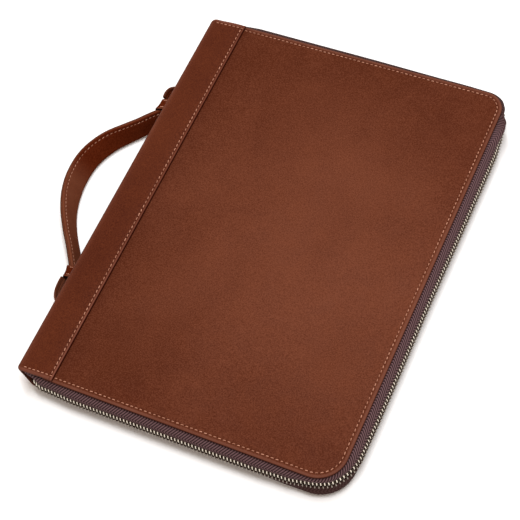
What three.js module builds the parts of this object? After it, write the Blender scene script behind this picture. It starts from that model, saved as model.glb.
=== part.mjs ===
// Zip-round leather document case, lying on its back, with a strap handle on its spine.
// Units are millimetres and +Z is up. The origin is on the floor under the middle of the case.
// +X points to the long zip edge, +Y to the top edge.

import * as THREE from "three";

// Driving dimensions of the case
const CASE_WIDTH = 260;
const CASE_HEIGHT = 350;
const CASE_THICK = 26;
const LOW_RADIUS = 18;
const HIGH_RADIUS = 15;
const COVER_THICK = 2.6;
const COVER_ROLL = 0.8;
const RIM_CUT_SHARE = 0.7;
const CORNER_TURNS = [15, 30, 45, 60, 70];
const GAP = 0.3;
const MITRE_LIMIT = 0.5;

// Spine leather: a strip laid over each cover, and the slanted face between its two folds
const STRIP_WIDTH = 30;
const STRIP_THICK = 1.6;
const STRIP_OVERLAP = 8;
const STRIP_STEP_CLEAR = 2;
const STRIP_STEP_LENGTH = 7;
const COVER_STEP_CLEAR = 1;
const COVER_STEP_LENGTH = 6;
const STRIP_FOLD_RISE = 0.6;
const FACE_HEAD = { x: -131, z: 22 };
const FACE_FOOT = { x: -124.4, z: 3.6 };
const FOLD_HEAD = { cornerX: -132.3, startX: -127.5 };
const FOLD_FOOT = { cornerX: -123.1, startX: -117.5 };
const SPINE_CORNER_RADIUS = 3;
const SPINE_CORNER_SHARES = [0.3, 0.6, 0.85, 1];

// Zip
const ZIP_START_X = -121;
const TAPE_THICK = 1;
const TAPE_TUCK = 8;
const TAPE_LEAVE = 1.5;
const TAPE_CLEAR = 0.35;
const TAPE_SAG = { out: 0.45, shift: 0.3, up: 0.66 };
const TAPE_END_TILT = 0.35;
const TAPE_LIFT_CLEAR = 6;
const TAPE_LIFT_LENGTH = 14;
const TAPE_STEPS = { bottom: 15, lowCorner: 8, right: 18, highCorner: 8, top: 15 };
const CHAIN_HEIGHT = 5.8;
const CHAIN_THICK = 2.4;
const CHAIN_LEAN = 0.3;
const TOOTH_PITCH = 2.84;
const TOOTH_DEPTH = 0.7;
const CHAIN_START = 2;
const CHAIN_END = 13;
const SLIDER_LENGTH = 10.4;
const SLIDER_CORE = { up: 2.8, inner: -1.2, outer: 1.4 };
const SLIDER_PLATE = { up: 4.4, outer: 2.7 };
const SLIDER_PULL = { head: 15, foot: 1.5, outer: 4 };

// Strap handle and its keepers
const STRAP_ROUND = 0.9;
const STRAP_REST = 0.4;
const KEEPER_THICK = 1.6;
const KEEPER_LENGTH = 10.4;
const KEEPER_ROOM = 6.8;
const KEEPER_MOUTH_ROOM = 9.6;
const KEEPER_MOUTH_SHARE = 0.45;
const KEEPER_FOOT_Z = 4.2;
const KEEPER_SPAN = { low: -0.35, high: 18.7 };
const KEEPER_ROUND = 3;
const KEEPER_CUT = 0.9;
const KEEPERS = [
  { name: "keeper_top", mouthY: 78.5, tailSide: 1 },
  { name: "keeper_bottom", mouthY: -79.6, tailSide: -1 },
];

// How far the teeth stand out from the covers' edge, along the zip: share of each edge, millimetres out
const ZIP_BULGE = [
  { edge: "bottom", share: 0, out: 0.8 },
  { edge: "bottom", share: 0.05, out: 2.9 },
  { edge: "bottom", share: 0.18, out: 4.9 },
  { edge: "bottom", share: 0.65, out: 4.9 },
  { edge: "bottom", share: 0.94, out: 3.4 },
  { edge: "lowCorner", share: 0.4, out: 2.3 },
  { edge: "right", share: 0.02, out: 4.8 },
  { edge: "right", share: 0.15, out: 6.2 },
  { edge: "right", share: 0.45, out: 5.9 },
  { edge: "right", share: 0.7, out: 7.2 },
  { edge: "right", share: 0.96, out: 6.2 },
  { edge: "highCorner", share: 0.5, out: 2.4 },
  { edge: "top", share: 0.1, out: 4.2 },
  { edge: "top", share: 0.5, out: 4.8 },
  { edge: "top", share: 0.8, out: 4 },
  { edge: "top", share: 0.92, out: 0.8 },
  { edge: "top", share: 1, out: 0.8 },
];

// Lower inner edge of the strap, from its turned-back top end to its turned-back bottom end:
// distance off the spine face, height, lean in degrees, width and thickness
const STRAP_LINE = [
  { y: 105, off: 0.4, z: 4.3, lean: 19.7, wide: 16, thick: 2.6 },
  { y: 104, off: 0.4, z: 4.2, lean: 19.7, wide: 16.4, thick: 5 },
  { y: 101, off: 0.4, z: 4.2, lean: 19.7, wide: 16.6, thick: 8 },
  { y: 93, off: 0.4, z: 4.2, lean: 19.7, wide: 16.6, thick: 10.4 },
  { y: 92.2, off: 0.4, z: 4.2, lean: 19.7, wide: 16.6, thick: 4.2 },
  { y: 88, off: 0.4, z: 4.2, lean: 19.7, wide: 16.6, thick: 4.2 },
  { y: 84.5, off: 0.6, z: 4.2, lean: 19.7, wide: 16.6, thick: 4.2 },
  { y: 80, off: 1.7, z: 3.9, lean: 19.4, wide: 16.5, thick: 4.2 },
  { y: 77, off: 3.7, z: 3.6, lean: 18.8, wide: 16.5, thick: 4.2 },
  { y: 73.7, off: 7.2, z: 3.4, lean: 18, wide: 16.9, thick: 4.2 },
  { y: 67.8, off: 12.6, z: 3.1, lean: 16.2, wide: 17.7, thick: 4.2 },
  { y: 59.1, off: 19.6, z: 2.7, lean: 17.5, wide: 18.3, thick: 4.2 },
  { y: 50.2, off: 27.6, z: 2.4, lean: 20, wide: 18.8, thick: 4.2 },
  { y: 35.9, off: 37.9, z: 2.6, lean: 30, wide: 19.4, thick: 4.2 },
  { y: 20.3, off: 43.6, z: 2.9, lean: 35.5, wide: 19.9, thick: 4.2 },
  { y: 1.7, off: 44.7, z: 2.8, lean: 34, wide: 20, thick: 4.2 },
  { y: -13.8, off: 42.6, z: 2.5, lean: 27.5, wide: 19.9, thick: 4.2 },
  { y: -28.5, off: 37.8, z: 2.3, lean: 21, wide: 19.4, thick: 4.2 },
  { y: -44.8, off: 28.6, z: 2.4, lean: 17, wide: 18.8, thick: 4.2 },
  { y: -60, off: 17.2, z: 2.9, lean: 16.8, wide: 17.9, thick: 4.2 },
  { y: -64.5, off: 13.9, z: 3.1, lean: 17, wide: 17.7, thick: 4.2 },
  { y: -68.5, off: 11, z: 3.3, lean: 17.4, wide: 17.4, thick: 4.2 },
  { y: -72.5, off: 8, z: 3.6, lean: 18, wide: 17.2, thick: 4.2 },
  { y: -76.5, off: 4.9, z: 3.7, lean: 18.8, wide: 16.6, thick: 4.2 },
  { y: -80.5, off: 2.2, z: 4, lean: 19.4, wide: 16.5, thick: 4.2 },
  { y: -85, off: 0.7, z: 4.2, lean: 19.7, wide: 16.6, thick: 4.2 },
  { y: -89, off: 0.4, z: 4.2, lean: 19.7, wide: 16.6, thick: 4.2 },
  { y: -91, off: 0.4, z: 4.2, lean: 19.7, wide: 16.6, thick: 4.2 },
  { y: -91.8, off: 0.4, z: 4.2, lean: 19.7, wide: 16.6, thick: 10.8 },
  { y: -104, off: 0.4, z: 4.2, lean: 19.7, wide: 16.6, thick: 8 },
  { y: -110, off: 0.4, z: 4.2, lean: 19.7, wide: 16.4, thick: 5.2 },
  { y: -111.2, off: 0.4, z: 4.3, lean: 19.7, wide: 16, thick: 2.6 },
];

// Sizes that follow from the driving dimensions
const HALF_WIDTH = CASE_WIDTH / 2;
const HALF_HEIGHT = CASE_HEIGHT / 2;
const SEAM_X = -HALF_WIDTH + STRIP_WIDTH;
const COVER_LEFT_X = SEAM_X - STRIP_OVERLAP;
const LOW_CORNER = { x: HALF_WIDTH - LOW_RADIUS, y: LOW_RADIUS - HALF_HEIGHT };
const HIGH_CORNER = { x: HALF_WIDTH - HIGH_RADIUS, y: HALF_HEIGHT - HIGH_RADIUS };
const MIDDLE_Z = CASE_THICK / 2;
const COVER_STEP = STRIP_THICK + GAP;
const STEP_HIGH_X = SEAM_X + COVER_STEP_CLEAR;
const STEP_LOW_X = STEP_HIGH_X + COVER_STEP_LENGTH;

// Materials
const leather = (color) => new THREE.MeshStandardMaterial({ color, roughness: 0.75, metalness: 0 });
const COVER_LEATHER = 0x6e3a26;
const SPINE_LEATHER = 0x66321f;
const STRAP_LEATHER = 0x5a2a19;
const TAPE_CLOTH = new THREE.MeshStandardMaterial({ color: 0x5a4549, roughness: 0.9, metalness: 0 });
const ANTIQUE_BRASS = new THREE.MeshStandardMaterial({ color: 0x9c8a6c, roughness: 0.35, metalness: 0.9 });

// A closed solid through a row of sections.
// A section is an outline of 2D points and a function that places them.
function loft(sections) {
  const count = sections[0].outline.length;
  const positions = [];
  const index = [];
  for (const { outline, place } of sections) {
    if (THREE.ShapeUtils.isClockWise(outline)) {
      outline.reverse();
    }
    for (const point of outline) {
      positions.push(...place(point).toArray());
    }
  }
  for (let s = 0; s + 1 < sections.length; s += 1) {
    for (let i = 0; i < count; i += 1) {
      const a = s * count + i;
      const b = s * count + (i + 1) % count;
      index.push(a, b, b + count, a, b + count, a + count);
    }
  }
  const last = sections.length - 1;
  for (const [a, b, c] of THREE.ShapeUtils.triangulateShape(sections[0].outline, [])) {
    index.push(c, b, a);
  }
  for (const [a, b, c] of THREE.ShapeUtils.triangulateShape(sections[last].outline, [])) {
    index.push(last * count + a, last * count + b, last * count + c);
  }
  const geometry = new THREE.BufferGeometry();
  geometry.setAttribute("position", new THREE.Float32BufferAttribute(positions, 3));
  geometry.setIndex(index);
  return faceOutward(geometry);
}

// Turns every triangle over when the solid is inside out.
function faceOutward(geometry) {
  const position = geometry.getAttribute("position");
  const index = geometry.getIndex().array;
  const corner = [new THREE.Vector3(), new THREE.Vector3(), new THREE.Vector3()];
  let volume = 0;
  for (let t = 0; t < index.length; t += 3) {
    corner.forEach((point, k) => point.fromBufferAttribute(position, index[t + k]));
    volume += corner[0].dot(corner[1].cross(corner[2]));
  }
  if (volume < 0) {
    for (let t = 0; t < index.length; t += 3) {
      [index[t], index[t + 1]] = [index[t + 1], index[t]];
    }
  }
  geometry.computeVertexNormals();
  return geometry;
}

// The outline of a sheet that follows a line, with the given thickness on each side of it.
function sheetOutline(line, leftThick, rightThick) {
  const shifted = (distance) => line.map((point, i) => {
    const before = line[Math.max(i - 1, 0)];
    const after = line[Math.min(i + 1, line.length - 1)];
    const into = point.clone().sub(before).normalize();
    const out = after.clone().sub(point).normalize();
    const along = into.clone().add(out).normalize();
    const stretch = Math.max(along.dot(i > 0 ? into : out), MITRE_LIMIT);
    return point.clone().add(new THREE.Vector2(-along.y, along.x).multiplyScalar(distance / stretch));
  });
  return [...shifted(leftThick), ...shifted(-rightThick).reverse()];
}

// A rectangle with its corners cut off.
function softRectangle(low, high, cut) {
  return [
    [low.x + cut, low.y], [high.x - cut, low.y], [high.x, low.y + cut], [high.x, high.y - cut],
    [high.x - cut, high.y], [low.x + cut, high.y], [low.x, high.y - cut], [low.x, low.y + cut],
  ].map(([x, y]) => new THREE.Vector2(x, y));
}

// How far a cover reaches up or down at x, past its round corner of the given radius.
function reachAt(x, radius) {
  const past = Math.max(x - (HALF_WIDTH - radius), 0);
  return HALF_HEIGHT - radius + Math.sqrt(Math.max(radius ** 2 - past ** 2, 0));
}

// Places along a cover where its section changes.
function coverStations() {
  const flat = [COVER_LEFT_X, STEP_HIGH_X, STEP_LOW_X, LOW_CORNER.x].map((x) => ({ x, squeeze: 0 }));
  const round = CORNER_TURNS.map((degrees) => {
    const turn = THREE.MathUtils.degToRad(degrees);
    return { x: LOW_CORNER.x + LOW_RADIUS * Math.sin(turn), squeeze: 0 };
  });
  const rim = [{ x: HALF_WIDTH - COVER_ROLL, squeeze: 0 }, { x: HALF_WIDTH, squeeze: COVER_ROLL }];
  return [...flat, ...round, ...rim];
}

// A cover panel whose underside is at lowZ, lifted near the spine by liftAt.
function cover(lowZ, liftAt) {
  return loft(coverStations().map(({ x, squeeze }) => {
    const low = new THREE.Vector2(-reachAt(x, LOW_RADIUS), lowZ + liftAt(x) + squeeze);
    const high = new THREE.Vector2(reachAt(x, HIGH_RADIUS), lowZ + liftAt(x) + COVER_THICK - squeeze);
    const outline = softRectangle(low, high, COVER_ROLL - RIM_CUT_SHARE * squeeze);
    return { outline, place: (p) => new THREE.Vector3(x, p.x, p.y) };
  }));
}

// The back cover steps up where it passes over the spine leather.
function backLift(x) {
  return COVER_STEP * THREE.MathUtils.clamp((STEP_LOW_X - x) / COVER_STEP_LENGTH, 0, 1);
}

// Outer line of the spine leather, from its edge on the front cover round to its edge on the back.
function spineLine() {
  const overCover = CASE_THICK + GAP + STRIP_THICK;
  const overFold = CASE_THICK + STRIP_FOLD_RISE;
  const stepX = COVER_LEFT_X - STRIP_STEP_CLEAR;
  const line = new THREE.Path();
  line.moveTo(SEAM_X, overCover);
  line.lineTo(stepX, overCover);
  line.lineTo(stepX - STRIP_STEP_LENGTH, overFold);
  line.lineTo(FOLD_HEAD.startX, overFold);
  line.quadraticCurveTo(FOLD_HEAD.cornerX, overFold, FACE_HEAD.x, FACE_HEAD.z);
  line.lineTo(FACE_FOOT.x, FACE_FOOT.z);
  line.quadraticCurveTo(FOLD_FOOT.cornerX, 0, FOLD_FOOT.startX, 0);
  line.lineTo(SEAM_X, 0);
  return line.getPoints(5);
}

function spinePanel() {
  const outline = sheetOutline(spineLine(), STRIP_THICK, 0);
  const straight = HALF_HEIGHT - SPINE_CORNER_RADIUS;
  const rounding = SPINE_CORNER_SHARES.map((share) => straight + share * SPINE_CORNER_RADIUS);
  const stations = [...rounding.map((y) => -y).reverse(), -straight, straight, ...rounding];
  return loft(stations.map((y) => {
    const past = Math.max(Math.abs(y) - straight, 0);
    const pull = SPINE_CORNER_RADIUS - Math.sqrt(SPINE_CORNER_RADIUS ** 2 - past ** 2);
    const place = (p) => {
      const near = THREE.MathUtils.clamp((FACE_FOOT.x - p.x) / (FACE_FOOT.x - FACE_HEAD.x), 0, 1);
      return new THREE.Vector3(p.x + pull * near, y, p.y);
    };
    return { outline, place };
  }));
}

// The line that the zip follows: the covers' edge, from the lower spine corner round to the upper one.
const ZIP_EDGE = new THREE.Path();
ZIP_EDGE.moveTo(ZIP_START_X, -HALF_HEIGHT);
ZIP_EDGE.lineTo(LOW_CORNER.x, -HALF_HEIGHT);
ZIP_EDGE.absarc(LOW_CORNER.x, LOW_CORNER.y, LOW_RADIUS, -Math.PI / 2, 0, false);
ZIP_EDGE.lineTo(HALF_WIDTH, HIGH_CORNER.y);
ZIP_EDGE.absarc(HIGH_CORNER.x, HIGH_CORNER.y, HIGH_RADIUS, 0, Math.PI / 2, false);
ZIP_EDGE.lineTo(ZIP_START_X, HALF_HEIGHT);
const ZIP_LENGTH = ZIP_EDGE.getLength();
const EDGE_ENDS = ZIP_EDGE.getCurveLengths();
const EDGE_ORDER = ["bottom", "lowCorner", "right", "highCorner", "top"];

// Distance along the zip of a share of one of its edges.
function distanceAlong(edge, share) {
  const k = EDGE_ORDER.indexOf(edge);
  const start = k > 0 ? EDGE_ENDS[k - 1] : 0;
  return THREE.MathUtils.lerp(start, EDGE_ENDS[k], share);
}

const BULGE_ROWS = ZIP_BULGE.map(({ edge, share, out }) => ({ along: distanceAlong(edge, share), out }));

// How far the teeth stand out at a distance along the zip.
function bulgeAt(along) {
  const next = BULGE_ROWS.findIndex((row) => row.along > along);
  if (next < 0) {
    return BULGE_ROWS.at(-1).out;
  }
  const before = BULGE_ROWS[Math.max(next - 1, 0)];
  const after = BULGE_ROWS[next];
  const share = THREE.MathUtils.smoothstep(along, before.along, after.along);
  return THREE.MathUtils.lerp(before.out, after.out, share);
}

// Places (distance out, height) points square to the zip's line.
function acrossZip(along) {
  const share = along / ZIP_LENGTH;
  const point = ZIP_EDGE.getPoint(share);
  const tangent = ZIP_EDGE.getTangent(share);
  return (p) => new THREE.Vector3(point.x + tangent.y * p.x, point.y - tangent.x * p.x, p.y);
}

// Distances along the zip where a tape has a section.
function tapeStations() {
  const stations = [0];
  for (const edge of EDGE_ORDER) {
    for (let i = 1; i <= TAPE_STEPS[edge]; i += 1) {
      stations.push(distanceAlong(edge, i / TAPE_STEPS[edge]));
    }
  }
  return stations;
}

// How far the back tape rises at x to stay clear of the stepped part of the back cover.
function tapeLift(x) {
  const start = STEP_LOW_X + TAPE_LIFT_CLEAR + TAPE_LIFT_LENGTH / 2;
  return COVER_STEP * THREE.MathUtils.clamp((start - x) / TAPE_LIFT_LENGTH, 0, 1);
}

// One tape, from its tuck under a cover to the teeth.
// Side is 1 for the front tape and -1 for the back one.
function zipTape(side) {
  const sections = tapeStations().map((along) => {
    const out = bulgeAt(along);
    const lift = side < 0 ? tapeLift(ZIP_EDGE.getPoint(along / ZIP_LENGTH).x) : 0;
    const tuckUp = MIDDLE_Z - COVER_THICK - TAPE_CLEAR - TAPE_THICK / 2 - lift;
    const teethUp = CHAIN_HEIGHT / 2 + GAP + TAPE_END_TILT;
    const sagUp = THREE.MathUtils.lerp(teethUp, tuckUp, TAPE_SAG.up);
    const line = [
      new THREE.Vector2(-TAPE_TUCK, MIDDLE_Z + side * tuckUp),
      new THREE.Vector2(-TAPE_LEAVE, MIDDLE_Z + side * tuckUp),
      new THREE.Vector2(TAPE_SAG.out * out + TAPE_SAG.shift, MIDDLE_Z + side * sagUp),
      new THREE.Vector2(out - side * CHAIN_LEAN, MIDDLE_Z + side * teethUp),
    ];
    return { outline: sheetOutline(line, TAPE_THICK / 2, TAPE_THICK / 2), place: acrossZip(along) };
  });
  return loft(sections);
}

// Both rows of teeth as one ridged ribbon: upper and lower teeth stand out by turns.
function zipChain() {
  const end = ZIP_LENGTH - CHAIN_END;
  const count = 2 * Math.round((end - CHAIN_START) / TOOTH_PITCH);
  const up = CHAIN_HEIGHT / 2;
  const thick = CHAIN_THICK / 2;
  const sections = [];
  for (let k = 0; k <= count; k += 1) {
    const along = THREE.MathUtils.lerp(CHAIN_START, end, k / count);
    const out = bulgeAt(along);
    const upper = thick - (k % 2) * TOOTH_DEPTH;
    const lower = thick - (1 - k % 2) * TOOTH_DEPTH;
    const outline = [
      new THREE.Vector2(out - CHAIN_LEAN - thick, MIDDLE_Z + up),
      new THREE.Vector2(out + CHAIN_LEAN - thick, MIDDLE_Z - up),
      new THREE.Vector2(out + CHAIN_LEAN + lower, MIDDLE_Z - up),
      new THREE.Vector2(out - CHAIN_LEAN + upper, MIDDLE_Z + up),
    ];
    sections.push({ outline, place: acrossZip(along) });
  }
  return loft(sections);
}

// The slider at the closed end: its core between the tapes, its outer plate and the pull hanging down it.
// Each half is a row of (distance out, height) points.
function zipSlider() {
  const lowerHalf = [
    [SLIDER_CORE.inner, MIDDLE_Z - SLIDER_CORE.up],
    [SLIDER_CORE.outer, MIDDLE_Z - SLIDER_CORE.up],
    [SLIDER_CORE.outer, MIDDLE_Z - SLIDER_PLATE.up],
    [SLIDER_PLATE.outer, MIDDLE_Z - SLIDER_PLATE.up],
    [SLIDER_PLATE.outer, SLIDER_PULL.foot],
    [SLIDER_PULL.outer, SLIDER_PULL.foot],
  ];
  const upperHalf = [
    [SLIDER_PULL.outer, SLIDER_PULL.head],
    [SLIDER_PLATE.outer, SLIDER_PULL.head],
    [SLIDER_PLATE.outer, MIDDLE_Z + SLIDER_PLATE.up],
    [SLIDER_CORE.outer, MIDDLE_Z + SLIDER_PLATE.up],
    [SLIDER_CORE.outer, MIDDLE_Z + SLIDER_CORE.up],
    [SLIDER_CORE.inner, MIDDLE_Z + SLIDER_CORE.up],
  ];
  const start = ZIP_LENGTH - CHAIN_END + GAP;
  return loft([start, start + SLIDER_LENGTH].map((along) => {
    const outline = [...lowerHalf, ...upperHalf].map(([x, y]) => new THREE.Vector2(bulgeAt(along) + x, y));
    return { outline, place: acrossZip(along) };
  }));
}

// The outer face of the spine leather at a height.
function faceX(z) {
  return THREE.MathUtils.mapLinear(z, FACE_FOOT.z, FACE_HEAD.z, FACE_FOOT.x, FACE_HEAD.x);
}

// Values between two rows of the strap's table, by position in the table.
function strapShape(position) {
  const k = Math.min(Math.floor(position), STRAP_LINE.length - 2);
  const before = STRAP_LINE[k];
  const after = STRAP_LINE[k + 1];
  const between = (column) => THREE.MathUtils.lerp(before[column], after[column], position - k);
  return { lean: between("lean"), wide: between("wide"), thick: between("thick") };
}

function handleStrap() {
  const edgeLine = new THREE.CatmullRomCurve3(
    STRAP_LINE.map(({ y, off, z }) => new THREE.Vector3(faceX(z) - off, y, z)),
  );
  const spans = STRAP_LINE.length - 1;
  const sections = [];
  for (let position = 0; position <= spans; position += 0.5) {
    const edge = edgeLine.getPoint(position / spans);
    edge.x = Math.min(edge.x, faceX(edge.z) - STRAP_REST);
    const tangent = edgeLine.getTangent(position / spans);
    const { lean, wide, thick } = strapShape(position);
    const level = new THREE.Vector3(tangent.y, -tangent.x, 0).normalize();
    const angle = THREE.MathUtils.degToRad(lean);
    const across = level.clone().multiplyScalar(Math.sin(angle)).setZ(Math.cos(angle));
    const through = level.clone().multiplyScalar(Math.cos(angle)).setZ(-Math.sin(angle));
    const outline = softRectangle(new THREE.Vector2(0, 0), new THREE.Vector2(thick, wide), STRAP_ROUND);
    const place = (p) => edge.clone().addScaledVector(through, p.x).addScaledVector(across, p.y);
    sections.push({ outline, place });
  }
  return loft(sections);
}

// A leather loop over the strap, sewn to the spine face.
// Its mouth, where the strap leaves, stands further out.
function keeper({ mouthY, tailSide }) {
  const up = new THREE.Vector3(FACE_HEAD.x - FACE_FOOT.x, 0, FACE_HEAD.z - FACE_FOOT.z).normalize();
  const outward = new THREE.Vector3(-up.z, 0, up.x);
  const half = KEEPER_THICK / 2;
  const low = KEEPER_SPAN.low - half;
  const high = KEEPER_SPAN.high + half;
  const stations = [
    { y: mouthY, room: KEEPER_MOUTH_ROOM },
    { y: mouthY + tailSide * KEEPER_MOUTH_SHARE * KEEPER_LENGTH, room: KEEPER_ROOM },
    { y: mouthY + tailSide * KEEPER_LENGTH, room: KEEPER_ROOM },
  ];
  return loft(stations.map(({ y, room }) => {
    const top = room + half;
    const line = [
      [low, GAP],
      [low, top - KEEPER_ROUND],
      [low + KEEPER_CUT, top - KEEPER_CUT],
      [low + KEEPER_ROUND, top],
      [high - KEEPER_ROUND, top],
      [high - KEEPER_CUT, top - KEEPER_CUT],
      [high, top - KEEPER_ROUND],
      [high, GAP],
    ].map(([along, out]) => new THREE.Vector2(along, out));
    const foot = new THREE.Vector3(faceX(KEEPER_FOOT_Z), y, KEEPER_FOOT_Z);
    const place = (p) => foot.clone().addScaledVector(up, p.x).addScaledVector(outward, p.y);
    return { outline: sheetOutline(line, half, half), place };
  }));
}

const part = new THREE.Group();

function addPiece(name, geometry, material) {
  const mesh = new THREE.Mesh(geometry, material);
  mesh.name = name;
  part.add(mesh);
}

addPiece("front_cover", cover(CASE_THICK - COVER_THICK, () => 0), leather(COVER_LEATHER));
addPiece("back_cover", cover(0, backLift), leather(COVER_LEATHER));
addPiece("spine_panel", spinePanel(), leather(SPINE_LEATHER));
addPiece("zip_tape_front", zipTape(1), TAPE_CLOTH.clone());
addPiece("zip_tape_back", zipTape(-1), TAPE_CLOTH.clone());
addPiece("zip_chain", zipChain(), ANTIQUE_BRASS.clone());
addPiece("zip_slider", zipSlider(), ANTIQUE_BRASS.clone());
addPiece("handle_strap", handleStrap(), leather(STRAP_LEATHER));
for (const place of KEEPERS) {
  addPiece(place.name, keeper(place), leather(STRAP_LEATHER));
}

export default part;
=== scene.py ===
"""A zip-round leather document case: leather, stitching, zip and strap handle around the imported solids.

Lengths are in millimetres until a mesh is made, and in Blender's metres after that. The axes are those of
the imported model: +X to the long zip edge, +Y to the top edge, +Z up.
"""

import math
from collections import namedtuple
from types import SimpleNamespace as Named

import bmesh
import bpy
import numpy as np
from mathutils import Matrix, Vector


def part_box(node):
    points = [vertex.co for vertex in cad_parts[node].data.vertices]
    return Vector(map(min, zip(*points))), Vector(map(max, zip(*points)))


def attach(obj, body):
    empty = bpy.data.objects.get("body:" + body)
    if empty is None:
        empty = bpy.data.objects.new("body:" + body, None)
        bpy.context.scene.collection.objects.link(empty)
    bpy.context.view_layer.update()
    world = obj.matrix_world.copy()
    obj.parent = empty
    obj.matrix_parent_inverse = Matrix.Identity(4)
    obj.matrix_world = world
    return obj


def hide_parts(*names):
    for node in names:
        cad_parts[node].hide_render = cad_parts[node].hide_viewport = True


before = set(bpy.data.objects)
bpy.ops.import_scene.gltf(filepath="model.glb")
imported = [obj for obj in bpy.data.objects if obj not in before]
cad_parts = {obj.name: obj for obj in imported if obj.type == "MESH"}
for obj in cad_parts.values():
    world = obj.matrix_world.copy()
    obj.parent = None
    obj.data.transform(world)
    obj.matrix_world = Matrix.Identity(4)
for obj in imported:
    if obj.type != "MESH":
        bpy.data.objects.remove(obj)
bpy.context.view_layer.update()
MM = 0.001


def node_box(node):
    """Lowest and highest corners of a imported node, in millimetres."""
    low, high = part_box(node)
    return np.array(low) / MM, np.array(high) / MM


# How far the covers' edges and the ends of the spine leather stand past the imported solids
EDGE_PROUD = 1.0
SPINE_PROUD = 0.7

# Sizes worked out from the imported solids
FRONT_LOW, FRONT_HIGH = node_box("front_cover")
SPINE_HIGH = node_box("spine_panel")[1]
SLIDER_LOW, SLIDER_HIGH = node_box("zip_slider")
HALF_WIDTH, HALF_HEIGHT = FRONT_HIGH[:2] + EDGE_PROUD
SPINE_HALF = FRONT_HIGH[1] + SPINE_PROUD
CASE_THICK = FRONT_HIGH[2]
COVER_LEFT = FRONT_LOW[0]
COVER_THICK = CASE_THICK - FRONT_LOW[2]
SEAM_X = SPINE_HIGH[0]
STRIP_TOP = SPINE_HIGH[2]
MIDDLE_Z = CASE_THICK / 2

# Covers
LOW_RADIUS = 22.5
HIGH_RADIUS = 16.6
CORE_INSET = 11.0
STITCH_INSET = 3.75
ROLL = Named(drop=0.6, width=1.6)
GROOVE = Named(front=0.3, back=0.64, width=0.55)
RIPPLE = Named(depth=0.22, long_x=34, long_y=49, short_x=21, short_y=30)
EDGE_WORN = (1.3, 2.7)
EDGE_BURNT = (0.02, 0.4)
BACK_STEP = Named(rise=1.9, high_x=SEAM_X + 1.0, low_x=SEAM_X + 7.0)

# Spine leather
STRIP_THICK = 1.6
STRIP_FOLD_TOP = CASE_THICK + 0.6
STRIP_STEP = Named(start_x=COVER_LEFT + 2.0, end_x=COVER_LEFT - 19.0)
FACE_HEAD = np.array([-131.0, 22.0])
FACE_FOOT = np.array([-124.4, 3.6])
FOLD_HEAD = Named(corner_x=-132.3, start_x=-127.5)
FOLD_FOOT = Named(corner_x=-123.1, start_x=-117.5)
SPINE_CORNER_RADIUS = 3.4
SEAM_REACH = 0.5
SEAM_STITCH_INSET = 2.7
SPINE_STITCH_INSET = STITCH_INSET - EDGE_PROUD + SPINE_PROUD
SPINE_END_ROLL = Named(drop=0.45, width=1.0, under=0.3)
SPINE_END_RUB = Named(share=0.65, reach=(1.6, 3.2))
SPINE_END_BURN = Named(share=0.25, reach=(0.03, 0.3))
FOLD_RUB = Named(share=0.36, x=FACE_HEAD[0] + 1.0, width=2.2)
# A pale rim beside the seam's edge: rubbed leather and a painted highlight, stronger at the low end than at
# the high one
SEAM_RUB_AND_HIGHLIGHT = Named(low=0.9, high=0.4, start=(0.3, 0.55), end=(1.2, 2.0))
# The dark line at the seam's edge: edge dye and a painted shadow of the gap below it
SEAM_DYE_AND_SHADOW = (0.15, 0.5)
SEAM_RIM = Named(drop=0.5, width=0.6)
# Painted shadow on the covers beside the seam
SEAM_SHADE = Named(dark=0.16, width=9.0)
# Painted shade in the stitch grooves
STITCH_SHADE = 0.4

# Zip
ZIP_START_X = -121.0
TAPE_THICK = 0.8
TAPE_TUCK = 8.0
TAPE_OVERRUN = 5.0
TAPE_END_GAP = 2.6
TAPE_CLEAR = 0.45
END_RECESS = Named(depth=2.4, run=13.0)
RIB = Named(pitch=2.3, band=5.0, shift=1.0, slant=0.85, depth=0.14)
CORD_RADIUS = 0.8
CORD_UP = 2.0
CHAIN_UP = 2.9
CHAIN_LEAN = 1.3
TOOTH_PITCH = 2.84
CHAIN_START = 2.0
CHAIN_END = 13.0

# The tape's line across: where it leaves the cover, how it swells by how full it is, and how it drops
TAPE_LEAVE = -1.2
TAPE_SWELL = Named(least=1.0, gain=4.6)
TAPE_DROP = Named(least=0.2, gain=1.4, up=2.2)
CORD_LEAN = 0.7 * CHAIN_LEAN
TAPE_END_RUN = 26.0
# Painted shade: how far the back tape and the front tape's top run are mixed towards the tape's darkest tone
TAPE_SHADE = 0.8
BACK_LIFT = Named(start_x=SEAM_X + 20.0, run=14.0)

# One tooth from its leg on the tape to its head past the middle line, with half its width and thickness
ToothRow = namedtuple("ToothRow", "up wide thick")
TOOTH = [ToothRow(*row) for row in (
    (3.10, 0.34, 0.60), (2.96, 0.48, 1.05), (2.5, 0.54, 1.36), (1.5, 0.52, 1.42), (0.8, 0.54, 1.30),
    (0.35, 0.64, 1.10), (-0.35, 0.64, 0.92), (-0.75, 0.58, 0.74), (-0.92, 0.40, 0.40),
)]
TOOTH_SQUARENESS = 0.62

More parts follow.
